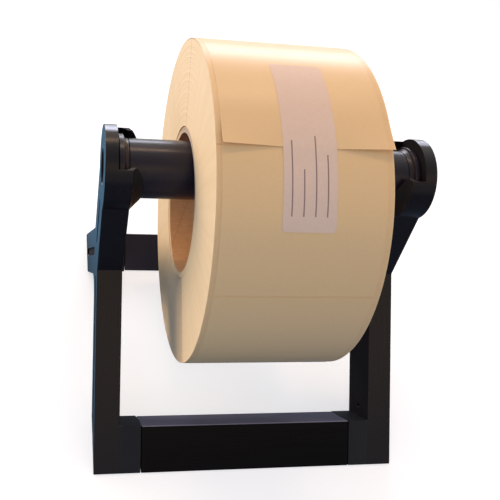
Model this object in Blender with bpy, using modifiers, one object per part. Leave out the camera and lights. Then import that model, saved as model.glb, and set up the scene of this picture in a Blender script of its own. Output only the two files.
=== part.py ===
"""Label roll holder: an inverted-Y stand that carries a roll of labels on a drop-in axle.

Metres, +Z up. X runs along the axle, -Y is the front, and the origin lies on the floor
under the middle of the stand. A side frame is drawn in its own section: across is world Y
and up is world Z, and its thickness runs inwards from its outer face.
"""

import math

import bmesh
import bpy
from mathutils import Matrix, Vector

# Stand
stand_width = 0.175
base_depth = 0.196
axle_height = 0.1385
leg_angle = math.radians(45)
frame_thickness = 0.014
leg_depth = 0.0275
stem_width = 0.035
apex_fillet = 0.015
corner_round = 0.0007
edge_chamfer = 0.0004

# Head of a side frame, measured inwards from the frame's outer face
head_radius = 0.022
cheek_thickness = 0.0065
cheek_hole_radius = 0.0098
groove_width = 0.0043
groove_run_out = 0.0025
nose_length = 0.0055
nose_lip = 0.0004
nose_step = 0.0003
wall_top_above_axle = 0.0125

# Axle
tube_radius = 0.0154
tube_wall = 0.002
flange_radius = 0.0175
flange_thickness = 0.003
flare_length = 0.0025
cap_bore_radius = 0.0075
cap_spigot_length = 0.014
saddle_clearance = 0.0003
flange_end_clearance = 0.0005

# Crossbars and the stubs that carry them
bar_face = 0.0272
stub_length = 0.012
spigot_length = 0.012
spigot_wall = 0.0045
spigot_end_room = 0.001

# Shallow grooves on the outer face, and the screw hole inside each leg
line_width = 0.005
line_depth = 0.0012
stem_line_top_below_axle = 0.022
stem_line_length = 0.032
leg_line_start = 0.0165
leg_line_floor_gap = 0.0035
screw_hole_radius = 0.0012
screw_hole_depth = 0.006
screw_hole_above_bar = 0.0062

# Roll of labels
core_bore_radius = 0.038
core_wall = 0.0032
roll_radius = 0.0875
roll_width = 0.082
roll_offset = -0.0025
web_step = 0.0004
tail_lift = 0.0006
tail_lift_run = 0.009
tail_angle = math.radians(57.5)
sticker_offset = -0.001
sticker_width = 0.025
sticker_length = 0.0865
sticker_thickness = 0.0003
sticker_above_tail = 0.049
sticker_corner = 0.003
sticker_ramp = 0.004

# Fit and mesh values
clearance = 0.0003
overrun = 0.004
merge_distance = 0.00001
round_steps = 72
roll_steps = 144
fillet_steps = 6
flare_steps = 5
round_profile_share = 0.5
sharp_edge = math.radians(32)
flat_limit = math.radians(0.1)

# Places worked out from the sizes above
half_width = stand_width / 2
half_base = base_depth / 2
half_stem = stem_width / 2
knee_height = (half_base - half_stem) / math.tan(leg_angle)
foot_length = leg_depth / math.cos(leg_angle)
inner_apex_height = (half_base - foot_length) / math.tan(leg_angle)
leg_up = Vector((math.sin(leg_angle), math.cos(leg_angle)))
leg_in = Vector((math.cos(leg_angle), -math.sin(leg_angle)))
saddle_radius = tube_radius + saddle_clearance
groove_radius = flange_radius + saddle_clearance
nose_end = frame_thickness + nose_length
seam_x = half_width - frame_thickness - stub_length
flange_end_x = half_width - cheek_thickness - flange_end_clearance
shoulder_x = flange_end_x - flange_thickness - flare_length
tube_half_length = shoulder_x - clearance
roll_height = axle_height + tube_radius + clearance - core_bore_radius
core_radius = core_bore_radius + core_wall
pack_bore_radius = core_radius + clearance

for old in list(bpy.data.objects):
    bpy.data.objects.remove(old)

holder = bpy.data.collections.new("label_roll_holder")
cutters = bpy.data.collections.new("cutters")
bpy.context.scene.collection.children.link(holder)
bpy.context.scene.collection.children.link(cutters)

# A section's local X lies along world Y and its local Y stands up; local Z, the depth of a
# plate and the axis of a turned piece, lies along world X
section_turn = Matrix(((0, 0, 1), (1, 0, 0), (0, 1, 0))).to_4x4()


def material(name, colour, roughness):
    made = bpy.data.materials.new(name)
    made.use_nodes = True
    shader = made.node_tree.nodes["Principled BSDF"]
    shader.inputs["Base Color"].default_value = (*colour, 1.0)
    shader.inputs["Roughness"].default_value = roughness
    return made


def arc(centre, radius, start, end, steps):
    """Points on an arc about a centre, both ends included."""
    angles = [start + (end - start) * i / steps for i in range(steps + 1)]
    return [Vector(centre) + radius * Vector((math.cos(angle), math.sin(angle))) for angle in angles]


def rounded(corners, steps=fillet_steps):
    """An outline whose corners, given as (point, radius), are rounded where the radius isn't zero."""
    outline = []
    for i, (point, radius) in enumerate(corners):
        here = Vector(point)
        before = (Vector(corners[i - 1][0]) - here).normalized()
        after = (Vector(corners[(i + 1) % len(corners)][0]) - here).normalized()
        if radius == 0:
            outline.append(here)
            continue
        half = before.angle(after) / 2
        run = radius / math.tan(half)
        centre = here + (before + after).normalized() * radius / math.sin(half)
        first = here + before * run - centre
        last = here + after * run - centre
        sweep = first.angle_signed(last)
        outline += [centre + Matrix.Rotation(-sweep * k / steps, 2) @ first for k in range(steps + 1)]
    return outline


def mesh_object(name, mesh, group, matrix=None):
    made = bpy.data.objects.new(name, mesh)
    group.objects.link(made)
    if matrix is not None:
        made.matrix_world = matrix
    return made


def evaluated_mesh(source):
    """A welded copy of what an object shows, with its place applied; the source is then removed."""
    bpy.context.view_layer.update()
    graph = bpy.context.evaluated_depsgraph_get()
    mesh = bpy.data.meshes.new_from_object(source.evaluated_get(graph))
    mesh.transform(source.matrix_world)
    shape = bmesh.new()
    shape.from_mesh(mesh)
    bmesh.ops.remove_doubles(shape, verts=shape.verts, dist=merge_distance)
    bmesh.ops.recalc_face_normals(shape, faces=shape.faces)
    shape.to_mesh(mesh)
    shape.free()
    bpy.data.objects.remove(source)
    return mesh


def plate(name, outlines, start, end, group, chamfer=0.0):
    """A flat piece whose section lies in the YZ plane, from X = start to X = end."""
    curve = bpy.data.curves.new(name, "CURVE")
    curve.dimensions = "2D"
    curve.fill_mode = "BOTH"
    curve.extrude = abs(end - start) / 2 - chamfer
    curve.bevel_depth = chamfer
    curve.bevel_resolution = 0
    curve.offset = -chamfer
    for outline in outlines:
        spline = curve.splines.new("POLY")
        spline.points.add(len(outline) - 1)
        for point, place in zip(spline.points, outline):
            point.co = (place[0], place[1], 0, 1)
        spline.use_cyclic_u = True
    drawn = mesh_object(name, curve, group, Matrix.Translation(((start + end) / 2, 0, 0)) @ section_turn)
    return mesh_object(name, evaluated_mesh(drawn), group)


def turned(name, profile, group, closed=False, steps=round_steps, height=axle_height):
    """A piece turned about the axle's line from a profile of (place along X, radius)."""
    mesh = bpy.data.meshes.new(name)
    count = len(profile)
    edges = [(i, i + 1) for i in range(count - 1)] + ([(count - 1, 0)] if closed else [])
    mesh.from_pydata([(radius, 0, along) for along, radius in profile], edges, [])
    drawn = mesh_object(name, mesh, group, Matrix.Translation((0, 0, height)) @ section_turn)
    screw = drawn.modifiers.new("turn", "SCREW")
    screw.axis = "Z"
    screw.steps = steps
    screw.render_steps = steps
    screw.use_merge_vertices = True
    screw.merge_threshold = merge_distance
    return mesh_object(name, evaluated_mesh(drawn), group)


def combine(body, operation, tool):
    """Joins a form to a body or cuts it out; the form stays in the cutters' collection, as wires."""
    change = body.modifiers.new(tool.name, "BOOLEAN")
    change.operation = operation
    change.solver = "EXACT"
    change.object = tool
    tool.hide_render = True
    tool.display_type = "WIRE"


def finish(piece, finish_material):
    """Gives a piece its material and smooth shading with crisp edges."""
    piece.data.materials.clear()
    piece.data.materials.append(finish_material)
    for face in piece.data.polygons:
        face.material_index = 0
    piece.data.shade_smooth()
    piece.data.set_sharp_from_angle(angle=sharp_edge)
    return piece


def set_origin(piece, parent):
    """Moves a piece's origin to its parent, which lies on the joint's axis."""
    piece.data.transform(Matrix.Translation(-parent.location))
    piece.parent = parent
    return piece


# Side frames: one outline for head, stem and legs, stubs drawn out of the feet, then the nose,
# the spigots, the saddle and the shallow cuts
def bar_corners(inset):
    """The front crossbar's section: front foot, ridge and rear foot, its faces moved in by inset."""
    front = Vector((-half_base, 0))
    ridge = front + leg_up * bar_face
    rear = Vector((2 * ridge.x - front.x, 0))
    lift = Vector((0, inset))
    side = Vector((inset / math.tan((math.pi / 2 - leg_angle) / 2), 0))
    drop = Vector((0, inset / math.sin(leg_angle)))
    return [front + lift + side, ridge - drop, rear + lift - side]


def bar_section(inset, rear_side):
    """The crossbar's section with its corners rounded; the rear one is its mirror image."""
    outline = rounded([(corner, corner_round) for corner in bar_corners(inset)])
    return [Vector((-point.x, point.y)) for point in reversed(outline)] if rear_side else outline


def frame_outline():
    """A side frame's outline: feet, legs and stem, a round head, and the fillet between the legs."""
    ridge, rear = bar_corners(0)[1:]
    inner_foot = Vector((foot_length - half_base, 0))
    front = [
        (inner_foot, 0),
        (rear, 0),
        (Vector((-half_base, 0)), corner_round),
        (ridge, 0),
        (Vector((-half_stem, knee_height)), 0),
    ]
    back = [(Vector((-point.x, point.y)), radius) for point, radius in reversed(front)]
    half_neck = math.asin(half_stem / head_radius)
    bottom = -math.pi / 2
    head = arc((0, axle_height), head_radius, bottom - half_neck, bottom + half_neck - 2 * math.pi, round_steps)
    return rounded(front + [(point, 0) for point in head] + back + [((0, inner_apex_height), apex_fillet)])


def frame_body(face_x):
    """Head, stem and legs as one plate, with a stub drawn out of the inside of each foot."""
    ridge, rear = bar_corners(0)[1:]
    shape = bmesh.new()
    verts = [shape.verts.new((face_x, point.x, point.y)) for point in frame_outline()]
    shape.faces.new(verts)
    for side in (1, -1):
        places = [Vector((side * spot.x, spot.y)) for spot in (ridge, rear)]
        ends = [min(verts, key=lambda v: (v.co.yz - place).length) for place in places]
        bmesh.ops.connect_vert_pair(shape, verts=ends)
    raised = bmesh.ops.extrude_face_region(shape, geom=shape.faces[:])["geom"]
    inner_verts = [v for v in raised if isinstance(v, bmesh.types.BMVert)]
    inner_faces = [f for f in raised if isinstance(f, bmesh.types.BMFace)]
    bmesh.ops.translate(shape, verts=inner_verts, vec=(frame_thickness, 0, 0))
    feet = [f for f in inner_faces if max(v.co.z for v in f.verts) < ridge.y + corner_round]
    stubs = bmesh.ops.extrude_discrete_faces(shape, faces=feet)["faces"]
    bmesh.ops.translate(shape, verts=[v for f in stubs for v in f.verts], vec=(stub_length, 0, 0))
    bmesh.ops.dissolve_limit(shape, angle_limit=flat_limit, verts=shape.verts, edges=shape.edges)
    bmesh.ops.recalc_face_normals(shape, faces=shape.faces)
    mesh = bpy.data.meshes.new("left_side_frame")
    shape.to_mesh(mesh)
    shape.free()
    body = mesh_object("left_side_frame", mesh, holder)
    edge = body.modifiers.new("edges", "BEVEL")
    edge.width = edge_chamfer
    edge.segments = 1
    edge.limit_method = "ANGLE"
    edge.angle_limit = sharp_edge
    return body


def nose_profile(face_x):
    """The conical nose on the head's inner side, rooted inside the head."""
    return [
        (face_x + cheek_thickness, head_radius - nose_step),
        (face_x + frame_thickness, head_radius - nose_step),
        (face_x + nose_end, saddle_radius + nose_lip),
    ]


def saddle_profile(face_x):
    """The groove for the axle's flange, its run-out and the bore that carries the tube."""
    groove = face_x + cheek_thickness
    return [
        (groove, groove_radius),
        (groove + groove_width, groove_radius),
        (groove + groove_width + groove_run_out, saddle_radius),
        (face_x + nose_end + overrun, saddle_radius),
    ]


def cheek_hole_profile(face_x):
    """The round hole through the cheek, in line with the axle."""
    outside = face_x - overrun
    inside = face_x + cheek_thickness + overrun
    return [(outside, 0), (outside, cheek_hole_radius), (inside, cheek_hole_radius), (inside, 0)]


def saddle_section(x, radius):
    """The lower half of a circle about the axle's line, open straight up, and wide above the walls."""
    half_turn = arc((0, axle_height), radius, math.pi, 2 * math.pi, round_steps // 2)
    wall_top = axle_height + wall_top_above_axle
    reach = head_radius + overrun
    top = axle_height + reach
    right = [Vector((radius, wall_top)), Vector((reach, wall_top)), Vector((reach, top))]
    left = [Vector((-point.x, point.y)) for point in reversed(right)]
    return [Vector((x, *point)) for point in half_turn + right + left]


def full_section(x, radius):
    """A whole circle about the axle's line."""
    circle = arc((0, axle_height), radius, 0, 2 * math.pi, round_steps)[:-1]
    return [Vector((x, *point)) for point in circle]


def lofted(name, sections, group):
    """A closed body through sections that have as many points each, in order along X."""
    shape = bmesh.new()
    rings = [[shape.verts.new(point) for point in section] for section in sections]
    for ring, following in zip(rings, rings[1:]):
        for i in range(len(ring)):
            shape.faces.new((ring[i - 1], ring[i], following[i], following[i - 1]))
    shape.faces.new(rings[0])
    shape.faces.new(rings[-1])
    bmesh.ops.recalc_face_normals(shape, faces=shape.faces)
    mesh = bpy.data.meshes.new(name)
    shape.to_mesh(mesh)
    shape.free()
    return mesh_object(name, mesh, group)


def stadium(start, end, width):
    """A groove's outline: two straight sides and two round ends."""
    along = end - start
    heading = math.atan2(along.y, along.x)
    right_angle = math.pi / 2
    first = arc(start, width / 2, heading + right_angle, heading + 3 * right_angle, fillet_steps * 2)
    last = arc(end, width / 2, heading - right_angle, heading + right_angle, fillet_steps * 2)
    return first + last


def line_grooves(face_x):
    """Three shallow grooves on the outer face: one down the stem and one down each leg."""
    half_line = line_width / 2
    top = Vector((0, axle_height - stem_line_top_below_axle - half_line))
    bottom = top - Vector((0, stem_line_length - line_width))
    mid_foot = Vector((half_base - foot_length / 2, 0))
    mid_apex = Vector((0, mid_foot.x / math.tan(leg_angle)))
    down = Vector((leg_up.x, -leg_up.y))
    start = mid_apex + down * leg_line_start
    end = mid_foot - down * (leg_line_floor_gap + half_line) / math.cos(leg_angle)
    mirrored = [Vector((-point.x, point.y)) for point in (start, end)]
    cuts = {"stem_line": (top, bottom), "rear_leg_line": (start, end), "front_leg_line": mirrored}
    for name, (first, last) in cuts.items():
        yield plate(name, [stadium(first, last, line_width)], face_x - overrun, face_x + line_depth, cutters)


def screw_holes(inner_x):
    """A small blind hole in the inner face of each leg, above the crossbar."""
    mid_face = Vector((-half_base, 0)) + leg_in * leg_depth / 2
    place = mid_face + leg_up * (bar_face + screw_hole_above_bar)
    for name, across in (("front_screw_hole", place.x), ("rear_screw_hole", -place.x)):
        outline = arc((across, place.y), screw_hole_radius, 0, 2 * math.pi, fillet_steps * 3)[:-1]
        yield plate(name, [outline], inner_x - screw_hole_depth, inner_x + overrun, cutters)


def left_frame():
    face_x = -half_width
    frame = frame_body(face_x)
    nose = [full_section(x, radius) for x, radius in nose_profile(face_x)]
    combine(frame, "UNION", lofted("nose_form", nose, cutters))
    for side, rear_side in (("front", False), ("rear", True)):
        spigot = bar_section(spigot_wall + clearance, rear_side)
        root_x = -seam_x - stub_length / 2
        form = plate(side + "_spigot_form", [spigot], root_x, -seam_x + spigot_length, cutters)
        combine(frame, "UNION", form)
    saddle = [saddle_section(x, radius) for x, radius in saddle_profile(face_x)]
    combine(frame, "DIFFERENCE", lofted("saddle_cut", saddle, cutters))
    combine(frame, "DIFFERENCE", turned("cheek_hole", cheek_hole_profile(face_x), cutters))
    for cut in (*line_grooves(face_x), *screw_holes(face_x + frame_thickness)):
        combine(frame, "DIFFERENCE", cut)
    mesh = evaluated_mesh(frame)
    mesh.name = "left_side_frame"
    return mesh_object("left_side_frame", mesh, holder)


def right_frame(left):
    """The mirror image of the left frame."""
    mesh = left.data.copy()
    mesh.name = "right_side_frame"
    mesh.transform(Matrix.Scale(-1, 4, (1, 0, 0)))
    mesh.flip_normals()
    return mesh_object("right_side_frame", mesh, holder)


# Crossbars: solid triangular bars with a blind socket for a spigot in each end
def crossbar(name, rear_side):
    end_x = seam_x - clearance
    bar = plate(name, [bar_section(0, rear_side)], -end_x, end_x, holder, edge_chamfer)
    socket = bar_section(spigot_wall, rear_side)
    deep = spigot_length + spigot_end_room
    for end, side in (("left", -1), ("right", 1)):
        places = sorted((side * (seam_x - deep), side * (seam_x + overrun)))
        combine(bar, "DIFFERENCE", plate(name + "_" + end + "_socket", [socket], *places, cutters))
    mesh = evaluated_mesh(bar)
    mesh.name = name
    return mesh_object(name, mesh, holder)


# Axle: a plain tube between two flanged end caps
def flare():
    """The concave flare from the tube's surface out to the flange, as (distance from the shoulder, radius)."""
    rise = flange_radius - tube_radius
    turns = [math.pi / 2 * i / flare_steps for i in range(flare_steps + 1)]
    return [(flare_length * math.sin(t), tube_radius + rise * (1 - math.cos(t))) for t in turns]


def axle_cap(name, side):
    spigot_radius = tube_radius - tube_wall - clearance
    spigot_end = shoulder_x - cap_spigot_length
    outside = [(shoulder_x + along, radius) for along, radius in flare()]
    rim = edge_chamfer
    profile = [
        (spigot_end, cap_bore_radius),
        (spigot_end, spigot_radius - rim),
        (spigot_end + rim, spigot_radius),
        (shoulder_x, spigot_radius),
        *outside,
        (flange_end_x - rim, flange_radius),
        (flange_end_x, flange_radius - rim),
        (flange_end_x, cap_bore_radius),
    ]
    return turned(name, [(side * x, radius) for x, radius in profile], holder, closed=True)


def axle_tube():
    inner = tube_radius - tube_wall
    profile = [(-tube_half_length, inner), (-tube_half_length, tube_radius)]
    profile += [(tube_half_length, tube_radius), (tube_half_length, inner)]
    return turned("axle_tube", profile, holder, closed=True)


# Roll: cardboard core, wound labels with a free end, and the paper sticker that holds it
def roll_core():
    left, right = roll_offset - roll_width / 2, roll_offset + roll_width / 2
    profile = [(left, core_bore_radius), (left, core_radius), (right, core_radius), (right, core_bore_radius)]
    return turned("roll_core", profile, holder, closed=True, height=roll_height)


def roll_point(radius, angle):
    """A point of the roll's section; the angle starts at the front and goes up over the top."""
    return Vector((-radius * math.cos(angle), roll_height + radius * math.sin(angle)))


def web_radius(turn):
    """The wound web's radius, from its lifted free end at turn 0 to the turn below it at one turn."""
    lift = tail_lift * max(0, 1 - turn * roll_radius / tail_lift_run) ** 2
    return roll_radius - tail_lift - web_step * turn / (2 * math.pi) + lift


def wound_outline():
    """One spiral turn that ends in the web's free end, with the step down to the turn below."""
    turns = [2 * math.pi * i / roll_steps for i in range(roll_steps + 1)]
    return [roll_point(web_radius(turn), tail_angle + turn) for turn in turns]


def label_roll():
    left, right = roll_offset - roll_width / 2, roll_offset + roll_width / 2
    bore = arc((0, roll_height), pack_bore_radius, 0, 2 * math.pi, round_steps)[:-1]
    return plate("label_roll", [wound_outline(), bore], left, right, holder)


def sticker_radius(run):
    """The sticker's inner face, a run above the tail's edge or, below zero, down past its step."""
    above = web_radius(max(run, 0) / roll_radius)
    below = web_radius(2 * math.pi)
    share = min(1, max(0, -run / sticker_ramp))
    return above + (below - above) * share + clearance


def roll_sticker():
    """A slip of paper over the free end, bent to the roll, with rounded corners."""
    step = 2 * math.pi * roll_radius / roll_steps
    above = round(sticker_above_tail / step)
    below = round((sticker_length - sticker_above_tail - sticker_ramp) / step)
    runs = [sticker_above_tail * (1 - i / above) for i in range(above + 1)]
    last = sticker_above_tail - sticker_length
    runs += [-sticker_ramp + (last + sticker_ramp) * i / below for i in range(below + 1)]
    under = [roll_point(sticker_radius(run), tail_angle + run / roll_radius) for run in runs]
    over = [roll_point(sticker_radius(run) + sticker_thickness, tail_angle + run / roll_radius) for run in runs]
    left, right = sticker_offset - sticker_width / 2, sticker_offset + sticker_width / 2
    sticker = plate("roll_sticker", [under + over[::-1]], left, right, holder)
    shape = bmesh.new()
    shape.from_mesh(sticker.data)
    ends = [Vector(point) for point in (under[0], over[0], under[-1], over[-1])]
    corner = {v for v in shape.verts if min((v.co.yz - end).length for end in ends) < merge_distance}
    upright = [e for e in shape.edges if corner.issuperset(e.verts) and e.calc_length() < 2 * sticker_thickness]
    bmesh.ops.bevel(
        shape,
        geom=upright,
        offset=sticker_corner,
        segments=fillet_steps,
        profile=round_profile_share,
        affect="EDGES",
        clamp_overlap=True,
    )
    shape.to_mesh(sticker.data)
    shape.free()
    return sticker


printed_black = material("printed_black_plastic", (0.012, 0.010, 0.011), 0.55)
bar_black = material("gloss_black_plastic", (0.004, 0.004, 0.005), 0.28)
axle_black = material("satin_black_plastic", (0.016, 0.014, 0.015), 0.32)
core_board = material("brown_core_board", (0.31, 0.15, 0.07), 0.85)
label_paper = material("cream_label_paper", (0.84, 0.66, 0.45), 0.6)
sticker_paper = material("pale_sticker_paper", (0.76, 0.62, 0.52), 0.65)

axle_line = bpy.data.objects.new("axle_line", None)
axle_line.location = (0, 0, axle_height)
roll_line = bpy.data.objects.new("roll_line", None)
roll_line.location = (roll_offset, 0, roll_height)
for line in (axle_line, roll_line):
    holder.objects.link(line)

left_side_frame = finish(left_frame(), printed_black)
finish(right_frame(left_side_frame), printed_black)
finish(crossbar("front_crossbar", False), bar_black)
finish(crossbar("rear_crossbar", True), bar_black)
set_origin(finish(axle_tube(), axle_black), axle_line)
set_origin(finish(axle_cap("left_axle_cap", -1), axle_black), axle_line)
set_origin(finish(axle_cap("right_axle_cap", 1), axle_black), axle_line)
set_origin(finish(roll_core(), core_board), roll_line)
set_origin(finish(label_roll(), label_paper), roll_line)
set_origin(finish(roll_sticker(), sticker_paper), roll_line)
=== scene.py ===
"""Label roll holder: the looks of the stand, its axle and the roll of labels on it."""

import math
import random

import bpy
from mathutils import Matrix, Vector


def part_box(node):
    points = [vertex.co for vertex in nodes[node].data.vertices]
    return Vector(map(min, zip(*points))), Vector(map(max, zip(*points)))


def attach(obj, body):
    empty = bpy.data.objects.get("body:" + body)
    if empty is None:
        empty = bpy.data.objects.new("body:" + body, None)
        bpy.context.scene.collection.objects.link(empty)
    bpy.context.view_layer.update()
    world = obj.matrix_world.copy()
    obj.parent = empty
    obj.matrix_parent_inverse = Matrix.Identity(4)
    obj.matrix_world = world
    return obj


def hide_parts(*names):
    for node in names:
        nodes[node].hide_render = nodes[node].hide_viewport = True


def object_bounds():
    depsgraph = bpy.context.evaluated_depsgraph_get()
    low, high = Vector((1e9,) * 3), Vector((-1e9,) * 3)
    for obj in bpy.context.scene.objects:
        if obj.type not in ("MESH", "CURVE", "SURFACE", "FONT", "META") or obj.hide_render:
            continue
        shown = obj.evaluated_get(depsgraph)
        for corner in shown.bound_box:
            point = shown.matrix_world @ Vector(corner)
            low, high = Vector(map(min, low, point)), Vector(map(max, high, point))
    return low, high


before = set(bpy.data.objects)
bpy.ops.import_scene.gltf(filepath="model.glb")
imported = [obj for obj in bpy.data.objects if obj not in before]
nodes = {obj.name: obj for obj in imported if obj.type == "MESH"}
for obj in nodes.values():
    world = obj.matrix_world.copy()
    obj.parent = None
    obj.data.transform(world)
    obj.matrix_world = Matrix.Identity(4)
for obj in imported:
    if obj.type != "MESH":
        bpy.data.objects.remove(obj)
cad_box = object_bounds()
bpy.ops.object.select_all(action="DESELECT")


# Side frames
# Two inverted-Y plates, printed lying on their outer faces in black plastic. The bed leaves the
# outer face smooth, and the layers show as fine lines on every face that stands up from it.
plate_thickness = 0.014
wall_top = 0.151
line_depth = 0.0012
frame_easing = 0.0004
easing_steps = 3
corner_weld = 0.000001
flat_angle, edge_angle, smooth_angle = math.radians(0.5), math.radians(40), math.radians(35)


def linear(hex_colour):
    """An sRGB hex colour as linear red, green, blue and alpha."""
    parts = [int(hex_colour[i : i + 2], 16) / 255 for i in (1, 3, 5)]
    return (*[c / 12.92 if c <= 0.04045 else ((c + 0.055) / 1.055) ** 2.4 for c in parts], 1.0)


def add_node(tree, kind, inputs=None, **settings):
    """Adds a node with its settings; an input is given a value or the socket that feeds it."""
    node = tree.nodes.new(kind)
    for name, value in settings.items():
        setattr(node, name, value)
    for name, value in (inputs or {}).items():
        if isinstance(value, bpy.types.NodeSocket):
            tree.links.new(value, node.inputs[name])
        else:
            node.inputs[name].default_value = value
    return node


def new_material(name):
    """A material with an empty Principled surface, its tree and its shader."""
    material = bpy.data.materials.new(name)
    material.use_nodes = True
    return material, material.node_tree, material.node_tree.nodes["Principled BSDF"]


def wave_scale(pitch):
    """The scale at which a Wave Texture's bands repeat at a pitch in metres."""
    return math.pi / (10 * pitch)


def eased_copy(node_name, piece_name, easing, material):
    """A copy of a CAD node with its edges rounded, as a finished piece to be seen in its place."""
    piece = bpy.data.objects.new(piece_name, nodes[node_name].data.copy())
    bpy.context.collection.objects.link(piece)
    bpy.context.view_layer.objects.active = piece
    piece.select_set(True)
    bpy.ops.object.mode_set(mode="EDIT")
    bpy.ops.mesh.select_all(action="SELECT")
    bpy.ops.mesh.remove_doubles(threshold=corner_weld)
    bpy.ops.mesh.dissolve_limited(angle_limit=flat_angle)
    bpy.ops.object.mode_set(mode="OBJECT")
    rounding = piece.modifiers.new("rounding", "BEVEL")
    rounding.width = easing
    rounding.segments = easing_steps
    rounding.angle_limit = edge_angle
    bpy.ops.object.modifier_apply(modifier=rounding.name)
    bpy.ops.object.shade_smooth_by_angle(angle=smooth_angle)
    even_shading = piece.modifiers.new("even_shading", "WEIGHTED_NORMAL")
    even_shading.keep_sharp = True
    bpy.ops.object.modifier_apply(modifier=even_shading.name)
    piece.data.materials.clear()
    piece.data.materials.append(material)
    piece.select_set(False)
    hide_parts(node_name)
    return piece


# Printed black plastic: layers 0.2 mm thick, drawn 0.8 mm apart so that they show, with specks of
# 1.1 mm and clouds of 17 mm. The face that lay on the bed is glossy, and the rims are satin. The
# face opposite, what stands on it and the sunk lines are matt. A pale highlight is painted on the
# heads' tops, a little to the rear, but hardly at all on the tops of the saddles' walls. The noses
# are painted darker and bluer, as painted shade.
layer_pitch = 0.0008
speck_scale, cloud_scale = 900.0, 60.0
speck_height, level_height = 0.5, 0.5
bed_roughness, inner_roughness, nose_roughness, line_roughness = 0.18, 0.95, 0.6, 0.95
bed_slack, nose_slack, wall_slack = 0.0002, 0.0005, 0.002
bed_plane = cad_box[1][0] - bed_slack
nose_plane = cad_box[1][0] - plate_thickness - nose_slack
highlight_side = (0, 0.23, 0.973)
wall_top_highlight_cut = 0.9
material, tree, shader = new_material("printed_black_plastic")
place = add_node(tree, "ShaderNodeTexCoord")
facing = add_node(tree, "ShaderNodeSeparateXYZ", {0: place.outputs["Normal"]})
sideways = add_node(tree, "ShaderNodeMath", {0: facing.outputs["X"]}, operation="ABSOLUTE")
spot = add_node(tree, "ShaderNodeSeparateXYZ", {0: place.outputs["Object"]})
out_from_middle = add_node(tree, "ShaderNodeMath", {0: spot.outputs["X"]}, operation="ABSOLUTE")
outermost = add_node(
    tree, "ShaderNodeMath", {0: out_from_middle.outputs[0], 1: bed_plane}, operation="GREATER_THAN"
)
sunk = add_node(
    tree,
    "ShaderNodeMath",
    {0: out_from_middle.outputs[0], 1: bed_plane - line_depth / 2, 2: line_depth / 2},
    operation="COMPARE",
)
flat_face = add_node(
    tree, "ShaderNodeMapRange", {"Value": sideways.outputs[0], "From Min": 0.75, "From Max": 0.95}
)
bed_face = add_node(
    tree, "ShaderNodeMath", {0: flat_face.outputs[0], 1: outermost.outputs[0]}, operation="MULTIPLY"
)
sunk_face = add_node(
    tree, "ShaderNodeMath", {0: flat_face.outputs[0], 1: sunk.outputs[0]}, operation="MULTIPLY"
)
layers = add_node(
    tree,
    "ShaderNodeTexWave",
    {
        "Vector": place.outputs["Object"],
        "Scale": wave_scale(layer_pitch),
        "Distortion": 0.6,
        "Detail": 2.0,
    },
)
specks = add_node(
    tree,
    "ShaderNodeTexNoise",
    {"Vector": place.outputs["Object"], "Scale": speck_scale, "Detail": 4.0},
)
clouds = add_node(
    tree,
    "ShaderNodeTexNoise",
    {"Vector": place.outputs["Object"], "Scale": cloud_scale, "Detail": 5.0},
)
shade = add_node(
    tree,
    "ShaderNodeMix",
    {0: specks.outputs["Fac"], 6: linear("#100F12"), 7: linear("#1C171A")},
    data_type="RGBA",
)
rim_height = add_node(
    tree, "ShaderNodeMix", {0: flat_face.outputs[0], 2: layers.outputs["Fac"], 3: level_height}
)
height = add_node(
    tree,
    "ShaderNodeMath",
    {0: specks.outputs["Fac"], 1: speck_height, 2: rim_height.outputs[0]},
    operation="MULTIPLY_ADD",
)
relief = add_node(
    tree, "ShaderNodeBump", {"Height": height.outputs[0], "Strength": 0.4, "Distance": 0.00008}
)
grain = add_node(
    tree, "ShaderNodeMapRange", {"Value": clouds.outputs["Fac"], "To Min": 0.2, "To Max": 0.3}
)
last_layer = add_node(
    tree, "ShaderNodeMix", {0: flat_face.outputs[0], 2: grain.outputs[0], 3: inner_roughness}
)
satin = add_node(
    tree, "ShaderNodeMix", {0: bed_face.outputs[0], 2: last_layer.outputs[0], 3: bed_roughness}
)
nose = add_node(
    tree, "ShaderNodeMath", {0: out_from_middle.outputs[0], 1: nose_plane}, operation="LESS_THAN"
)
dull_nose = add_node(
    tree, "ShaderNodeMix", {0: nose.outputs[0], 2: satin.outputs[0], 3: nose_roughness}
)
gloss = add_node(
    tree, "ShaderNodeMix", {0: sunk_face.outputs[0], 2: dull_nose.outputs[0], 3: line_roughness}
)
# Painted highlight: a pale band on the heads' tops, tilted a little to the rear, cut back on the
# saddles' wall tops.
upwards = add_node(
    tree,
    "ShaderNodeVectorMath",
    {0: place.outputs["Normal"], 1: highlight_side},
    operation="DOT_PRODUCT",
)
top_highlight = add_node(
    tree,
    "ShaderNodeMapRange",
    {"Value": upwards.outputs["Value"], "From Min": 0.97, "From Max": 1.0, "To Max": 0.8},
    interpolation_type="SMOOTHERSTEP",
)
at_wall_top = add_node(
    tree, "ShaderNodeMath", {0: spot.outputs["Z"], 1: wall_top, 2: wall_slack}, operation="COMPARE"
)
painted_highlight = add_node(
    tree,
    "ShaderNodeMath",
    {0: at_wall_top.outputs[0], 1: -wall_top_highlight_cut, 2: 1.0},
    operation="MULTIPLY_ADD",
)
painted_highlight = add_node(
    tree, "ShaderNodeMath", {0: top_highlight.outputs[0], 1: painted_highlight.outputs[0]}, operation="MULTIPLY"
)
# Painted shade: the noses are painted darker and bluer than the rest of the same plastic.
shade = add_node(
    tree,
    "ShaderNodeMix",
    {0: nose.outputs[0], 6: shade.outputs[2], 7: linear("#12151B")},
    data_type="RGBA",
)
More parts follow.
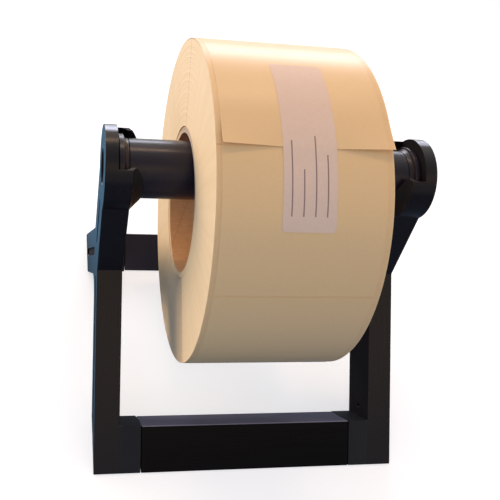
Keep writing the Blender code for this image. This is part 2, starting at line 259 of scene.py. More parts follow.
# The painted highlight is mixed into the base colour here.
shade = add_node(
    tree,
    "ShaderNodeMix",
    {0: painted_highlight.outputs[0], 6: shade.outputs[2], 7: linear("#A9B4C6")},
    data_type="RGBA",
)
tree.links.new(shade.outputs[2], shader.inputs["Base Color"])
tree.links.new(gloss.outputs[0], shader.inputs["Roughness"])
tree.links.new(relief.outputs[0], shader.inputs["Normal"])
shader.inputs["Specular IOR Level"].default_value = 0.25
for side in ("left", "right"):
    piece = eased_copy(side + "_side_frame", side + "_printed_frame", frame_easing, material)
    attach(piece, "stand")

# Crossbars
# Two solid triangular bars that plug on to the side frames' spigots, printed on one long face in
# a glossier black, so that their layers run along them.
bar_easing = 0.0012

# Glossy black plastic: layers 0.2 mm thick, drawn 0.9 mm apart so that they show, and smears 83 mm
# long and 2.5 mm wide. A pale sheen is painted on the faces turned inwards, the front bar's paler
# than the rear one's, and a pale highlight is painted on the top edges.
bar_layer_pitch = 0.0009
smear_scale = (12.0, 400.0, 400.0)
smear_height = 0.6
material, tree, shader = new_material("gloss_black_plastic")
place = add_node(tree, "ShaderNodeTexCoord")
layers = add_node(
    tree,
    "ShaderNodeTexWave",
    {
        "Vector": place.outputs["Object"],
        "Scale": wave_scale(bar_layer_pitch),
        "Distortion": 0.5,
        "Detail": 2.0,
    },
    bands_direction="Z",
)
smears = add_node(
    tree, "ShaderNodeMapping", {"Vector": place.outputs["Object"], "Scale": smear_scale}
)
streaks = add_node(
    tree, "ShaderNodeTexNoise", {"Vector": smears.outputs[0], "Scale": 1.0, "Detail": 4.0}
)
shade = add_node(
    tree,
    "ShaderNodeMix",
    {0: streaks.outputs["Fac"], 6: linear("#050506"), 7: linear("#0E0C0E")},
    data_type="RGBA",
)
facing = add_node(tree, "ShaderNodeSeparateXYZ", {0: place.outputs["Normal"]})
spot = add_node(tree, "ShaderNodeSeparateXYZ", {0: place.outputs["Object"]})
# Painted reflection: a pale sheen on the faces turned inwards, paler on the front bar than on the
# rear one.
inwards = add_node(
    tree, "ShaderNodeMath", {0: spot.outputs["Y"], 1: facing.outputs["Y"]}, operation="MULTIPLY"
)
painted_sheen = add_node(
    tree,
    "ShaderNodeMapRange",
    {"Value": inwards.outputs[0], "From Min": -0.03, "From Max": 0.0, "To Min": 1.0, "To Max": 0.0},
)
front_to_rear = add_node(
    tree, "ShaderNodeMapRange", {"Value": spot.outputs["Y"], "From Min": -0.05, "From Max": 0.05}
)
painted_sheen_colour = add_node(
    tree,
    "ShaderNodeMix",
    {0: front_to_rear.outputs[0], 6: linear("#66636F"), 7: linear("#343239")},
    data_type="RGBA",
)
shade = add_node(
    tree,
    "ShaderNodeMix",
    {0: painted_sheen.outputs[0], 6: shade.outputs[2], 7: painted_sheen_colour.outputs[2]},
    data_type="RGBA",
)
# Painted highlight: the top edges are painted paler.
top_highlight = add_node(
    tree,
    "ShaderNodeMapRange",
    {"Value": facing.outputs["Z"], "From Min": 0.86, "From Max": 0.95, "To Max": 0.75},
)
shade = add_node(
    tree,
    "ShaderNodeMix",
    {0: top_highlight.outputs[0], 6: shade.outputs[2], 7: linear("#8E8A9A")},
    data_type="RGBA",
)
height = add_node(
    tree,
    "ShaderNodeMath",
    {0: streaks.outputs["Fac"], 1: smear_height, 2: layers.outputs["Fac"]},
    operation="MULTIPLY_ADD",
)
relief = add_node(
    tree, "ShaderNodeBump", {"Height": height.outputs[0], "Strength": 0.3, "Distance": 0.00005}
)
gloss = add_node(
    tree, "ShaderNodeMapRange", {"Value": streaks.outputs["Fac"], "To Min": 0.12, "To Max": 0.24}
)
tree.links.new(shade.outputs[2], shader.inputs["Base Color"])
tree.links.new(gloss.outputs[0], shader.inputs["Roughness"])
tree.links.new(relief.outputs[0], shader.inputs["Normal"])
shader.inputs["Specular IOR Level"].default_value = 0.08
for end in ("front", "rear"):
    piece = eased_copy(end + "_crossbar", end + "_printed_bar", bar_easing, material)
    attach(piece, "stand")

# Axle
# A tube with a flanged cap pushed into each end, printed standing up in satin black, so that the
# layers ring it. It lies loose in the side frames' saddles.
cap_easing, tube_easing = 0.0003, 0.0001

# Satin black plastic: layers 0.2 mm thick, drawn 0.7 mm apart so that they show, with specks of
# 0.9 mm. They soften its long highlights.
ring_pitch = 0.0007
axle_speck_scale = 1100.0
axle_speck_height = 0.1
material, tree, shader = new_material("satin_black_plastic")
place = add_node(tree, "ShaderNodeTexCoord")
rings = add_node(
    tree,
    "ShaderNodeTexWave",
    {
        "Vector": place.outputs["Object"],
        "Scale": wave_scale(ring_pitch),
        "Distortion": 0.5,
        "Detail": 2.0,
    },
)
specks = add_node(
    tree,
    "ShaderNodeTexNoise",
    {"Vector": place.outputs["Object"], "Scale": axle_speck_scale, "Detail": 3.0},
)
shade = add_node(
    tree,
    "ShaderNodeMix",
    {0: specks.outputs["Fac"], 6: linear("#1A171F"), 7: linear("#26202A")},
    data_type="RGBA",
)
height = add_node(
    tree,
    "ShaderNodeMath",
    {0: specks.outputs["Fac"], 1: axle_speck_height, 2: rings.outputs["Fac"]},
    operation="MULTIPLY_ADD",
)
relief = add_node(
    tree, "ShaderNodeBump", {"Height": height.outputs[0], "Strength": 0.25, "Distance": 0.00006}
)
gloss = add_node(
    tree, "ShaderNodeMapRange", {"Value": specks.outputs["Fac"], "To Min": 0.22, "To Max": 0.28}
)
tree.links.new(shade.outputs[2], shader.inputs["Base Color"])
tree.links.new(gloss.outputs[0], shader.inputs["Roughness"])
tree.links.new(relief.outputs[0], shader.inputs["Normal"])
shader.inputs["Specular IOR Level"].default_value = 0.28
for side in ("left", "right"):
    piece = eased_copy(side + "_axle_cap", side + "_printed_cap", cap_easing, material)
    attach(piece, "axle_caps")
piece = eased_copy("axle_tube", "printed_tube", tube_easing, material)
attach(piece, "axle")

# Core
# A tube of brown board, wound on the slant from strips and cut square with the labels. The cut
# ends are paler and show the plies, and the strips' seam winds through the bore.
core_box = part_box("roll_core")
roll_height = (core_box[0][2] + core_box[1][2]) / 2
left_side, right_side = core_box[0][0], core_box[1][0]
core_radius = (core_box[1][2] - core_box[0][2]) / 2
board_thickness = 0.0032
ply_thickness = 0.0008
core_recess = 0.0003
core_chamfer = 0.0004
ply_unevenness = 0.00008
ply_groove = (0.0001, 0.00008)
spin_steps = 144
weld = 0.00001


def spun_piece(name, profile, steps):
    """A piece spun about the roll's axis from a closed profile of (place along X, radius)."""
    bpy.ops.mesh.primitive_circle_add(vertices=len(profile), radius=core_radius)
    piece = bpy.context.object
    piece.name = name
    for vertex, (along_x, radius) in zip(piece.data.vertices, profile):
        vertex.co = (along_x, 0, roll_height + radius)
    bpy.ops.object.mode_set(mode="EDIT")
    bpy.ops.mesh.select_all(action="SELECT")
    bpy.ops.mesh.spin(steps=steps, angle=2 * math.pi, center=(0, 0, roll_height), axis=(1, 0, 0))
    bpy.ops.mesh.select_all(action="SELECT")
    bpy.ops.mesh.remove_doubles(threshold=weld)
    bpy.ops.mesh.normals_make_consistent(inside=False)
    bpy.ops.object.mode_set(mode="OBJECT")
    bpy.ops.object.shade_smooth_by_angle(angle=smooth_angle)
    return piece


def ringed_side(side_x, outwards, bore, rim, ring_width, unevenness, groove, seed):
    """A side face's profile from bore to rim: rings at uneven levels, with a groove after each."""
    chance = random.Random(seed)
    groove_width, groove_depth = groove
    count = round((rim - bore) / ring_width)
    profile = []
    for i in range(count):
        start = bore + (rim - bore) * i / count
        end = bore + (rim - bore) * (i + 1) / count
        level = side_x - outwards * chance.uniform(0, unevenness)
        profile += [(level, start + groove_width), (level, end - groove_width)]
        profile.append((level - outwards * groove_depth, end))
    profile[-1] = (side_x - outwards * groove_depth, rim)
    return [(side_x, bore)] + profile


def board_end(side_x, outwards, seed):
    """A cut end of the core from bore to rim: its plies, with the outer edge bevelled."""
    end_x = side_x - outwards * core_recess
    bore, rim = core_radius - board_thickness, core_radius - core_chamfer
    plies = ringed_side(
        end_x, outwards, bore, rim, ply_thickness, ply_unevenness, ply_groove, seed
    )
    return plies + [(end_x - outwards * core_chamfer, core_radius)]


core_profile = board_end(left_side, -1, seed=7) + board_end(right_side, 1, seed=9)[::-1]
core = spun_piece("board_core", core_profile, spin_steps)

# Brown board: matt, with fibres drawn 4 mm long and 1.1 mm wide so that they show, and a faint
# seam between its strips. The cut ends are paler, with painted shade greying them towards the top.
strip_pitch = 0.09
seam_width = 0.0006
fibre_scale = (250.0, 900.0, 900.0)
material, tree, shader = new_material("brown_core_board")
place = add_node(tree, "ShaderNodeTexCoord")
centred = add_node(
    tree, "ShaderNodeMapping", {"Vector": place.outputs["Object"], "Location": (0, 0, -roll_height)}
)
parts = add_node(tree, "ShaderNodeSeparateXYZ", {0: centred.outputs[0]})
around = add_node(
    tree, "ShaderNodeMath", {0: parts.outputs["Y"], 1: parts.outputs["Z"]}, operation="ARCTAN2"
)
along = add_node(
    tree,
    "ShaderNodeMath",
    {0: parts.outputs["X"], 1: 2 * math.pi / strip_pitch, 2: around.outputs[0]},
    operation="MULTIPLY_ADD",
)
winding = add_node(
    tree,
    "ShaderNodeMath",
    {0: along.outputs[0], 1: strip_pitch / (2 * math.pi)},
    operation="MULTIPLY",
)
seam_place = add_node(
    tree, "ShaderNodeMath", {0: winding.outputs[0], 1: strip_pitch}, operation="PINGPONG"
)
seam = add_node(
    tree,
    "ShaderNodeMapRange",
    {"Value": seam_place.outputs[0], "From Max": seam_width, "To Min": 1.0, "To Max": 0.0},
)
drawn_out = add_node(
    tree, "ShaderNodeMapping", {"Vector": place.outputs["Object"], "Scale": fibre_scale}
)
fibres = add_node(
    tree, "ShaderNodeTexNoise", {"Vector": drawn_out.outputs[0], "Scale": 1.0, "Detail": 6.0}
)
board = add_node(
    tree,
    "ShaderNodeMix",
    {0: fibres.outputs["Fac"], 6: linear("#D09158"), 7: linear("#EFBA82")},
    data_type="RGBA",
)
seamed = add_node(
    tree,
    "ShaderNodeMix",
    {0: seam.outputs[0], 6: board.outputs[2], 7: linear("#D29A64")},
    data_type="RGBA",
)
plies = add_node(
    tree,
    "ShaderNodeTexWave",
    {
        "Vector": centred.outputs[0],
        "Scale": wave_scale(ply_thickness),
        "Distortion": 1.0,
        "Detail": 2.0,
    },
    wave_type="RINGS",
    rings_direction="X",
)
cut_board = add_node(
    tree,
    "ShaderNodeMix",
    {0: plies.outputs["Fac"], 6: linear("#E6C899"), 7: linear("#FADFB2")},
    data_type="RGBA",
)
# Painted shade: the cut ends grey towards the top.
painted_top_shade = add_node(
    tree,
    "ShaderNodeMapRange",
    {"Value": parts.outputs["Z"], "From Min": 0.01, "From Max": 0.034},
    interpolation_type="SMOOTHSTEP",
)
cut_board = add_node(
    tree,
    "ShaderNodeMix",
    {0: painted_top_shade.outputs[0], 6: cut_board.outputs[2], 7: linear("#B7A795")},
    data_type="RGBA",
)
facing = add_node(tree, "ShaderNodeSeparateXYZ", {0: place.outputs["Normal"]})
sideways = add_node(tree, "ShaderNodeMath", {0: facing.outputs["X"]}, operation="ABSOLUTE")
cut_end = add_node(
    tree, "ShaderNodeMapRange", {"Value": sideways.outputs[0], "From Min": 0.6, "From Max": 0.9}
)
shade = add_node(
    tree,
    "ShaderNodeMix",
    {0: cut_end.outputs[0], 6: seamed.outputs[2], 7: cut_board.outputs[2]},
    data_type="RGBA",
)
relief = add_node(
    tree, "ShaderNodeBump", {"Height": fibres.outputs["Fac"], "Strength": 0.4, "Distance": 0.00015}
)
tree.links.new(shade.outputs[2], shader.inputs["Base Color"])
tree.links.new(relief.outputs[0], shader.inputs["Normal"])
shader.inputs["Roughness"].default_value = 0.8
shader.inputs["Specular IOR Level"].default_value = 0.25
core.data.materials.append(material)
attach(core, "roll")
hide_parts("roll_core")

# Wound labels
# Paper labels on a liner, slit to one width and wound tight on the core. The turns' cut edges
# make the fine rings of the side faces, and no two lie quite level. A ring of the mesh is about
# four turns wide.
pack_radius = 0.08645
core_clearance = 0.0003
pack_bore = core_radius + core_clearance
ring_width = 0.0011
ring_unevenness = 0.00004
ring_groove = (0.00012, 0.00003)


def pack_side(side_x, outwards, seed):
    """A side face of the wound labels, from the core to the last turn."""
    return ringed_side(
        side_x, outwards, pack_bore, pack_radius, ring_width, ring_unevenness, ring_groove, seed
    )


pack_profile = pack_side(left_side, -1, seed=3) + pack_side(right_side, 1, seed=5)[::-1]
pack = spun_piece("label_pack", pack_profile, spin_steps)

# Cut paper edges: the turns are 0.26 mm thick, and their rings are drawn 0.45 mm apart so that they
# show, faintly streaked across. Two darker radial lines are painted reflection streaks, and past
# the lower one a greyer fan is the painted shadow of the side frame's stem.
streak_scale = (14.0, 22.0, 1.0)
ring_scale = (1.2, 2200.0, 1.0)
streak_line_width = 0.0016
upper_strength, lower_strength, fan_strength = 0.42, 0.6, 0.5
upper_line, lower_line = math.radians(28), math.radians(-127)
fan_turn = math.radians(34)
material, tree, shader = new_material("cut_label_paper")
place = add_node(tree, "ShaderNodeTexCoord")
centred = add_node(
    tree, "ShaderNodeMapping", {"Vector": place.outputs["Object"], "Location": (0, 0, -roll_height)}
)
parts = add_node(tree, "ShaderNodeSeparateXYZ", {0: centred.outputs[0]})
around = add_node(
    tree, "ShaderNodeMath", {0: parts.outputs["Y"], 1: parts.outputs["Z"]}, operation="ARCTAN2"
)
flat = add_node(tree, "ShaderNodeCombineXYZ", {"Y": parts.outputs["Y"], "Z": parts.outputs["Z"]})
distance = add_node(tree, "ShaderNodeVectorMath", {0: flat.outputs[0]}, operation="LENGTH")
polar = add_node(
    tree,
    "ShaderNodeCombineXYZ",
    {"X": around.outputs[0], "Y": distance.outputs["Value"], "Z": parts.outputs["X"]},
)
streak_place = add_node(
    tree, "ShaderNodeMapping", {"Vector": polar.outputs[0], "Scale": streak_scale}
)
streaks = add_node(
    tree, "ShaderNodeTexNoise", {"Vector": streak_place.outputs[0], "Scale": 1.0, "Detail": 5.0}
)
ring_place = add_node(tree, "ShaderNodeMapping", {"Vector": polar.outputs[0], "Scale": ring_scale})
rings = add_node(
    tree, "ShaderNodeTexNoise", {"Vector": ring_place.outputs[0], "Scale": 1.0, "Detail": 2.0}
)
edges = add_node(
    tree,
    "ShaderNodeMix",
    {0: rings.outputs["Fac"], 6: linear("#EED0A2"), 7: linear("#F4D7AB")},
    data_type="RGBA",
)
contrast = add_node(
    tree,
    "ShaderNodeMapRange",
    {"Value": streaks.outputs["Fac"], "From Min": 0.35, "From Max": 0.75, "To Max": 0.16},
)
streaked = add_node(
    tree,
    "ShaderNodeMix",
    {0: contrast.outputs[0], 6: edges.outputs[2], 7: linear("#C9A071")},
    data_type="RGBA",
)
shaded = streaked.outputs[2]
# Painted reflection: two darker radial streaks across the side faces.
for line_turn, strength in ((upper_line, upper_strength), (lower_line, lower_strength)):
    off_line = add_node(
        tree, "ShaderNodeMath", {0: around.outputs[0], 1: line_turn}, operation="SUBTRACT"
    )
    arc = add_node(
        tree,
        "ShaderNodeMath",
        {0: off_line.outputs[0], 1: distance.outputs["Value"]},
        operation="MULTIPLY",
    )
    arc = add_node(tree, "ShaderNodeMath", {0: arc.outputs[0]}, operation="ABSOLUTE")
    line = add_node(
        tree,
        "ShaderNodeMapRange",
        {"Value": arc.outputs[0], "From Max": streak_line_width, "To Min": strength, "To Max": 0.0},
        interpolation_type="SMOOTHSTEP",
    )
    lined = add_node(
        tree,
        "ShaderNodeMix",
        {0: line.outputs[0], 6: shaded, 7: linear("#BE8F60")},
        data_type="RGBA",
    )
    shaded = lined.outputs[2]
# Painted shadow: a greyer fan past the lower line, where the side frame's stem shades the face.
fan_start = add_node(
    tree,
    "ShaderNodeMapRange",
    {
        "Value": around.outputs[0],
        "From Min": lower_line - 0.03,
        "From Max": lower_line + 0.01,
        "To Min": fan_strength,
        "To Max": 0.0,
    },
    interpolation_type="SMOOTHSTEP",
)
fan_fade = add_node(
    tree,
    "ShaderNodeMapRange",
    {"Value": around.outputs[0], "From Min": lower_line - fan_turn, "From Max": lower_line - 0.05},
    interpolation_type="SMOOTHSTEP",
)
painted_stem_shadow = add_node(
    tree, "ShaderNodeMath", {0: fan_start.outputs[0], 1: fan_fade.outputs[0]}, operation="MULTIPLY"
)
shade = add_node(
    tree, "ShaderNodeMix", {0: painted_stem_shadow.outputs[0], 6: shaded, 7: linear("#A8917A")}, data_type="RGBA"
)
relief = add_node(
    tree, "ShaderNodeBump", {"Height": rings.outputs["Fac"], "Strength": 0.5, "Distance": 0.0001}
)
tree.links.new(shade.outputs[2], shader.inputs["Base Color"])
tree.links.new(relief.outputs[0], shader.inputs["Normal"])
shader.inputs["Roughness"].default_value = 0.5
shader.inputs["Specular IOR Level"].default_value = 0.4
pack.data.materials.append(material)
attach(pack, "roll")
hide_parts("label_roll")

# Outer turn
# The last turn of the web: a thin liner with labels stuck on it, and a gap between each two. Its
# free end lies on the front of the roll. There the right corner of both has sprung up from the
# turn below, and so has the label's left one.
tail_angle = math.radians(57.5)
liner_thickness = 0.00008
label_thickness = 0.00014
paper_gap = 0.00002
turn_pitch = liner_thickness + label_thickness + 2 * paper_gap
overlap = 0.15
lift_run = 0.016
sticker_left, sticker_right = -0.0135, 0.0115
left_lift, right_lift = 0.0021, 0.0026
label_left, label_right = -0.041, 0.0353
across_steps, round_steps, corner_steps = 16, 150, 6


def spring_up(x, turn, both_corners):
    """How far the free end stands off the turn below, at its right corner or at both."""
    share = max(0, (x - sticker_right) / (right_side - sticker_right)) * right_lift
    if both_corners:
        share += max(0, (sticker_left - x) / (sticker_left - label_left)) * left_lift
    return share * max(0, 1 - turn * pack_radius / lift_run) ** 2


def liner_radius(x, turn):
    """The radius of the liner's underside, at a turn in radians from its free end."""
    settled = pack_radius + paper_gap + turn_pitch * max(0, 1 - turn / (2 * math.pi))
    return settled + spring_up(x, turn, False)


def label_radius(x, turn):
    """The radius of a label's underside, at a turn in radians from the liner's free end."""
    lift = spring_up(x, turn, True) - spring_up(x, turn, False)
    return liner_radius(x, turn) + liner_thickness + paper_gap / 2 + lift


def sheet_piece(name, places, turns, columns, rows, radius_at, thickness, corner=0.0):
    """A flat sheet, square or with round corners, laid on the roll in strips and thickened."""
    width, length = places[1] - places[0], (turns[1] - turns[0]) * pack_radius
    bpy.ops.mesh.primitive_plane_add(size=1)
    sheet = bpy.context.object
    sheet.name = name
    bpy.ops.object.mode_set(mode="EDIT")
    bpy.ops.mesh.select_all(action="SELECT")
    bpy.ops.transform.resize(value=(width, length, 1))
    if corner:
        bpy.ops.mesh.bevel(offset=corner, segments=corner_steps, affect="VERTICES")
        bpy.ops.mesh.select_all(action="SELECT")
    for count, size, axis in ((columns, width, (1, 0, 0)), (rows, length, (0, 1, 0))):
        for i in range(1, count):
            bpy.ops.mesh.select_all(action="SELECT")
            bpy.ops.mesh.bisect(plane_co=Vector(axis) * size * (i / count - 0.5), plane_no=axis)
    bpy.ops.object.mode_set(mode="OBJECT")
    mesh = sheet.data
    for layer in list(mesh.uv_layers):
        mesh.uv_layers.remove(layer)
    unwrapped = mesh.uv_layers.new(name="sheet")
    for loop in mesh.loops:
        spot = mesh.vertices[loop.vertex_index].co
        unwrapped.data[loop.index].uv = (spot.x / width + 0.5, spot.y / length + 0.5)
    for vertex in mesh.vertices:
        x = places[0] + width / 2 + vertex.co.x
        turn = turns[0] + (vertex.co.y / length + 0.5) * (turns[1] - turns[0])
        radius = radius_at(x, turn)
        angle = tail_angle + turn
        vertex.co = (x, -radius * math.cos(angle), roll_height + radius * math.sin(angle))
    body = sheet.modifiers.new("thickness", "SOLIDIFY")
    body.thickness = thickness
    body.offset = 1
    bpy.ops.object.modifier_apply(modifier=body.name)
    bpy.ops.object.shade_smooth_by_angle(angle=smooth_angle)
    return sheet


# Glassine: smooth and thin, a little more orange than the labels on it, with a pale highlight
# painted along its slit edges. Its fibres are drawn 2 mm across so that they show.
edge_highlight_width = 0.0006
liner_fibre_scale = 500.0
material, tree, shader = new_material("glassine_liner")
place = add_node(tree, "ShaderNodeTexCoord")
fibres = add_node(
    tree,
    "ShaderNodeTexNoise",
    {"Vector": place.outputs["Object"], "Scale": liner_fibre_scale, "Detail": 5.0},
)
glassine = add_node(
    tree,
    "ShaderNodeMix",
    {0: fibres.outputs["Fac"], 6: linear("#E3B980"), 7: linear("#ECC58E")},
    data_type="RGBA",
)
spot = add_node(tree, "ShaderNodeSeparateXYZ", {0: place.outputs["Object"]})
from_middle = add_node(
    tree,
    "ShaderNodeMath",
    {0: spot.outputs["X"], 1: (left_side + right_side) / 2},
    operation="SUBTRACT",
)
from_middle = add_node(tree, "ShaderNodeMath", {0: from_middle.outputs[0]}, operation="ABSOLUTE")
# Painted highlight: a paler band along the slit edges.
edge_highlight = add_node(
    tree,
    "ShaderNodeMapRange",
    {
        "Value": from_middle.outputs[0],
        "From Min": (right_side - left_side) / 2 - edge_highlight_width,
        "From Max": (right_side - left_side) / 2 - edge_highlight_width / 3,
    },
)
shade = add_node(
    tree,
    "ShaderNodeMix",
    {0: edge_highlight.outputs[0], 6: glassine.outputs[2], 7: linear("#F2C88F")},
    data_type="RGBA",
)
relief = add_node(
    tree, "ShaderNodeBump", {"Height": fibres.outputs["Fac"], "Strength": 0.2, "Distance": 0.00004}
)
tree.links.new(shade.outputs[2], shader.inputs["Base Color"])
tree.links.new(relief.outputs[0], shader.inputs["Normal"])
shader.inputs["Roughness"].default_value = 0.38
shader.inputs["Specular IOR Level"].default_value = 0.3
whole_turn = (0, 2 * math.pi + overlap)
liner = sheet_piece(
    "liner_turn",
    (left_side, right_side),
    whole_turn,
    across_steps,
    round_steps,
    liner_radius,
    liner_thickness,
)
liner.data.materials.append(material)
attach(liner, "roll")
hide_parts("label_roll")

# Coated paper: tan and semi-gloss. Its fibres are drawn 1.4 mm across so that they show, and clouds
# of 22 mm even them out.
label_fibre_scale, label_cloud_scale = 700.0, 45.0
material, tree, shader = new_material("coated_label_paper")
place = add_node(tree, "ShaderNodeTexCoord")
fibres = add_node(
    tree,
    "ShaderNodeTexNoise",
    {"Vector": place.outputs["Object"], "Scale": label_fibre_scale, "Detail": 5.0},
)
clouds = add_node(
    tree,
    "ShaderNodeTexNoise",
    {"Vector": place.outputs["Object"], "Scale": label_cloud_scale, "Detail": 3.0},
)
grain = add_node(
    tree,
    "ShaderNodeMix",
    {0: fibres.outputs["Fac"], 6: linear("#E6BE85"), 7: linear("#EFCA92")},
    data_type="RGBA",
)
shade = add_node(
    tree,
    "ShaderNodeMix",
    {0: clouds.outputs["Fac"], 6: grain.outputs[2], 7: linear("#EAC48B")},
    data_type="RGBA",
)
relief = add_node(
    tree, "ShaderNodeBump", {"Height": fibres.outputs["Fac"], "Strength": 0.25, "Distance": 0.00004}
)
tree.links.new(shade.outputs[2], shader.inputs["Base Color"])
tree.links.new(relief.outputs[0], shader.inputs["Normal"])
shader.inputs["Roughness"].default_value = 0.32
shader.inputs["Specular IOR Level"].default_value = 0.28
label_count = 5
last_gap = math.radians(314.7)
label_pitch = last_gap / (label_count - 1)
label_gap = 0.001
gap_turn = label_gap / pack_radius
for i in range(label_count):
    start = i * label_pitch
    end = min(start + label_pitch - gap_turn, whole_turn[1])
    rows = max(2, round((end - start) / whole_turn[1] * round_steps))
    label = sheet_piece(
        "label_%d" % (i + 1),
        (label_left, label_right),
        (start, end),
        across_steps,
        rows,
        label_radius,
        label_thickness,
    )
    label.data.materials.append(material)
    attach(label, "roll")
    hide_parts("label_roll")

# Sticker
# A slip of thin matt paper stuck over the free end, a little over half on the last turn and the
# rest on the one below, with plain ruled lines printed along its lower half.
sticker_length = 0.0865
sticker_above = 0.049
sticker_thickness = 0.00012
sticker_ramp = 0.004
sticker_corner = 0.002
sticker_across_steps, sticker_round_steps = 6, 44


def sticker_radius(x, turn):
    """The radius of the sticker's underside: on the last turn, then down past its edge."""
    above = label_radius(0, max(turn, 0)) + label_thickness + paper_gap
    below = label_radius(0, 2 * math.pi) + label_thickness + paper_gap
    share = min(1, max(0, -turn * pack_radius / sticker_ramp))
    return above + (below - above) * share


sticker_turns = ((sticker_above - sticker_length) / pack_radius, sticker_above / pack_radius)
sticker = sheet_piece(
    "tail_sticker",
    (sticker_left, sticker_right),
    sticker_turns,
    sticker_across_steps,
    sticker_round_steps,
    sticker_radius,
    sticker_thickness,
    corner=sticker_corner,
)

# Matt paper: pinker than the labels, with fibres drawn 1.7 mm across so that they show. A rule is
# 0.6 mm wide, and has its place across the slip, its start and its end as shares of the slip.
sticker_fibre_scale = 600.0
rules = ((0.16, 0.08, 0.47), (0.38, 0.08, 0.32), (0.6, 0.08, 0.5), (0.82, 0.08, 0.4))
half_rule_width = 0.0003
half_rule_share = half_rule_width / (sticker_right - sticker_left)
ink_strength = 0.75
material, tree, shader = new_material("matt_sticker_paper")
place = add_node(tree, "ShaderNodeTexCoord")
fibres = add_node(
    tree,
    "ShaderNodeTexNoise",
    {"Vector": place.outputs["Object"], "Scale": sticker_fibre_scale, "Detail": 5.0},
)
paper = add_node(
    tree,
    "ShaderNodeMix",
    {0: fibres.outputs["Fac"], 6: linear("#E1C2A6"), 7: linear("#E9CCB1")},
    data_type="RGBA",
)
sheet = add_node(tree, "ShaderNodeSeparateXYZ", {0: place.outputs["UV"]})
printed = None
for across, start, end in rules:
    beside = add_node(
        tree,
        "ShaderNodeMath",
        {0: sheet.outputs["X"], 1: across, 2: half_rule_share},
        operation="COMPARE",
    )
    middle_of_rule, half_length = (start + end) / 2, (end - start) / 2
    within = add_node(
        tree,
        "ShaderNodeMath",
        {0: sheet.outputs["Y"], 1: middle_of_rule, 2: half_length},
        operation="COMPARE",
    )
    rule = add_node(
        tree, "ShaderNodeMath", {0: beside.outputs[0], 1: within.outputs[0]}, operation="MULTIPLY"
    )
    if printed:
        rule = add_node(tree, "ShaderNodeMath", {0: rule.outputs[0], 1: printed}, operation="ADD")
    printed = rule.outputs[0]
faint = add_node(tree, "ShaderNodeMath", {0: printed, 1: ink_strength}, operation="MULTIPLY")
shade = add_node(
    tree,
    "ShaderNodeMix",
    {0: faint.outputs[0], 6: paper.outputs[2], 7: linear("#5E4A50")},
    data_type="RGBA",
)
relief = add_node(
    tree, "ShaderNodeBump", {"Height": fibres.outputs["Fac"], "Strength": 0.25, "Distance": 0.00004}
)
tree.links.new(shade.outputs[2], shader.inputs["Base Color"])
tree.links.new(relief.outputs[0], shader.inputs["Normal"])
shader.inputs["Roughness"].default_value = 0.6
shader.inputs["Specular IOR Level"].default_value = 0.2
sticker.data.materials.append(material)
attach(sticker, "roll")
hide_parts("roll_sticker")

# Studio
# A pale floor that fades to white away from the object and casts a bluish light on it. Large soft
# lights stand above, behind, in front and to both sides. The lower ones behind and in front are
# cool, the others warm, and a bluish light comes evenly from all round.
floor_glow = 0.55
bpy.ops.mesh.primitive_plane_add(size=6.0, location=(0, 0, 0))
floor = bpy.context.object
floor.name = "studio_floor"
material, tree, shader = new_material("studio_floor")
rays = add_node(tree, "ShaderNodeLightPath")
seen = add_node(
    tree,
    "ShaderNodeMath",
    {0: rays.outputs["Is Camera Ray"], 1: rays.outputs["Is Transmission Ray"]},
    operation="ADD",
)
place = add_node(tree, "ShaderNodeTexCoord")
spot = add_node(tree, "ShaderNodeSeparateXYZ", {0: place.outputs["Object"]})
beside = add_node(
    tree, "ShaderNodeMapRange", {"Value": spot.outputs["X"], "From Min": -0.1, "From Max": -0.085}
)
bounce = add_node(
    tree,
    "ShaderNodeMix",
    {0: rays.outputs["Is Diffuse Ray"], 6: linear("#607488"), 7: linear("#4C76AE")},
    data_type="RGBA",
)
cast = add_node(
    tree,
    "ShaderNodeMix",
    {0: beside.outputs[0], 6: linear("#5683A0"), 7: bounce.outputs[2]},
    data_type="RGBA",
)
colour = add_node(
    tree,
    "ShaderNodeMix",
    {0: seen.outputs[0], 6: cast.outputs[2], 7: linear("#C8C8C6")},
    data_type="RGBA",
)
away = add_node(tree, "ShaderNodeVectorMath", {0: place.outputs["Object"]}, operation="LENGTH")
far = add_node(
    tree,
    "ShaderNodeMapRange",
    {"Value": away.outputs["Value"], "From Min": 0.25, "From Max": 0.8},
    interpolation_type="SMOOTHSTEP",
)
behind = add_node(
    tree, "ShaderNodeMapRange", {"Value": spot.outputs["Y"], "From Min": 0.05, "From Max": 0.3}
)
reflected = add_node(
    tree,
    "ShaderNodeMath",
    {0: rays.outputs["Is Glossy Ray"], 1: behind.outputs[0]},
    operation="MULTIPLY",
)
shown = add_node(
    tree, "ShaderNodeMath", {0: seen.outputs[0], 1: reflected.outputs[0]}, operation="ADD"
)
shown_far = add_node(
    tree, "ShaderNodeMath", {0: far.outputs[0], 1: shown.outputs[0]}, operation="MULTIPLY"
)
faded = add_node(
    tree,
    "ShaderNodeMix",
    {0: shown_far.outputs[0], 6: colour.outputs[2], 7: linear("#000000")},
    data_type="RGBA",
)
near = add_node(tree, "ShaderNodeMath", {0: 1.0, 1: far.outputs[0]}, operation="SUBTRACT")
glow = add_node(tree, "ShaderNodeMath", {0: near.outputs[0], 1: floor_glow}, operation="MULTIPLY")
brighter = add_node(
    tree,
    "ShaderNodeMath",
    {0: seen.outputs[0], 1: glow.outputs[0], 2: shown_far.outputs[0]},
    operation="MULTIPLY_ADD",
)
tree.links.new(faded.outputs[2], shader.inputs["Base Color"])
tree.links.new(brighter.outputs[0], shader.inputs["Emission Strength"])
shader.inputs["Emission Color"].default_value = (1, 1, 1, 1)
shader.inputs["Roughness"].default_value = 0.9
shader.inputs["Specular IOR Level"].default_value = 0.0
floor.data.materials.append(material)

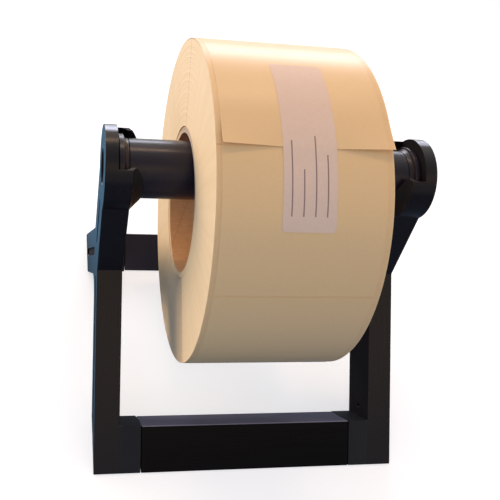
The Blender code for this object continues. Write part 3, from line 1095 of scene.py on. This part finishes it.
even_light = (0.4, 0.455, 0.6, 1)
world = bpy.data.worlds.new("studio")
bpy.context.scene.world = world
world.use_nodes = True
tree = world.node_tree
rays = add_node(tree, "ShaderNodeLightPath")
place = add_node(tree, "ShaderNodeTexCoord")
towards = add_node(tree, "ShaderNodeSeparateXYZ", {0: place.outputs["Generated"]})
behind = add_node(
    tree,
    "ShaderNodeMapRange",
    {
        "Value": towards.outputs["Y"],
        "From Min": -0.3,
        "From Max": 0.3,
        "To Min": 0.45,
        "To Max": 1.0,
    },
)
reflected = add_node(
    tree,
    "ShaderNodeMath",
    {0: rays.outputs["Is Glossy Ray"], 1: behind.outputs[0]},
    operation="MULTIPLY",
)
seen = add_node(
    tree,
    "ShaderNodeMath",
    {0: rays.outputs["Is Camera Ray"], 1: rays.outputs["Is Transmission Ray"]},
    operation="ADD",
)
white = add_node(
    tree, "ShaderNodeMath", {0: seen.outputs[0], 1: reflected.outputs[0]}, operation="ADD"
)
dim = add_node(
    tree, "ShaderNodeMath", {0: 1.0, 1: rays.outputs["Is Glossy Ray"]}, operation="SUBTRACT"
)
around = add_node(
    tree, "ShaderNodeMix", {0: dim.outputs[0], 6: (0, 0, 0, 1), 7: even_light}, data_type="RGBA"
)
sky = add_node(
    tree,
    "ShaderNodeMix",
    {0: white.outputs[0], 6: around.outputs[2], 7: (1, 1, 1, 1)},
    data_type="RGBA",
)
tree.links.new(sky.outputs[2], tree.nodes["Background"].inputs["Color"])


def soft_light(name, place, aim, width, height, watts, colour):
    """A rectangular area light at a place, turned to aim at a point."""
    bpy.ops.object.light_add(type="AREA", location=place)
    light = bpy.context.object
    light.name = name
    light.data.shape = "RECTANGLE"
    light.data.size = width
    light.data.size_y = height
    light.data.energy = watts
    light.data.color = linear(colour)[:3]
    light.rotation_euler = (Vector(aim) - Vector(place)).to_track_quat("-Z", "Y").to_euler()


middle = (0, 0, 0.1)
soft_light("overhead", (-0.05, 0.42, 1.05), middle, 0.9, 0.07, 3.5, "#FFD6B0")
soft_light("above_behind", (0.0, 0.8, 0.95), middle, 1.2, 0.5, 1.3, "#FFD9B4")
soft_light("from_behind", (0.1, 1.25, 0.5), middle, 1.2, 0.35, 9.0, "#EEF0FF")
soft_light("from_the_left", (-0.93, 0.5, 0.18), middle, 0.8, 0.6, 12.2, "#FFEAD2")
soft_light("from_the_right", (1.0, -0.1, 0.42), middle, 0.8, 0.6, 4.6, "#FFD5A8")
soft_light("above_front", (0.25, -0.9, 0.85), middle, 0.8, 0.5, 1.0, "#FFD08A")
soft_light("front_fill", (-0.8, -1.0, 0.3), middle, 0.8, 0.5, 3.0, "#DAE6FF")

# The camera stands to the left in front of the object and looks down on it. Its focal length is
# given in widths of the picture.
lens_share = 707.79 / 500
bpy.ops.object.camera_add(location=(-0.11126, -0.29197, 0.36287))
camera = bpy.context.object
camera.name = "camera"
camera.data.sensor_width = 36
camera.data.lens = camera.data.sensor_width * lens_share
camera.data.shift_x = 0.135
camera.data.clip_start = 0.01
turn, tilt, roll = -0.2478, -0.7537, 0.1906
camera.matrix_world = (
    Matrix.Translation(camera.location)
    @ Matrix.Rotation(turn, 4, "Z")
    @ Matrix.Rotation(math.pi / 2 + tilt, 4, "X")
    @ Matrix.Rotation(roll, 4, "Z")
)
bpy.context.scene.camera = camera
bpy.context.scene.view_settings.view_transform = "Standard"
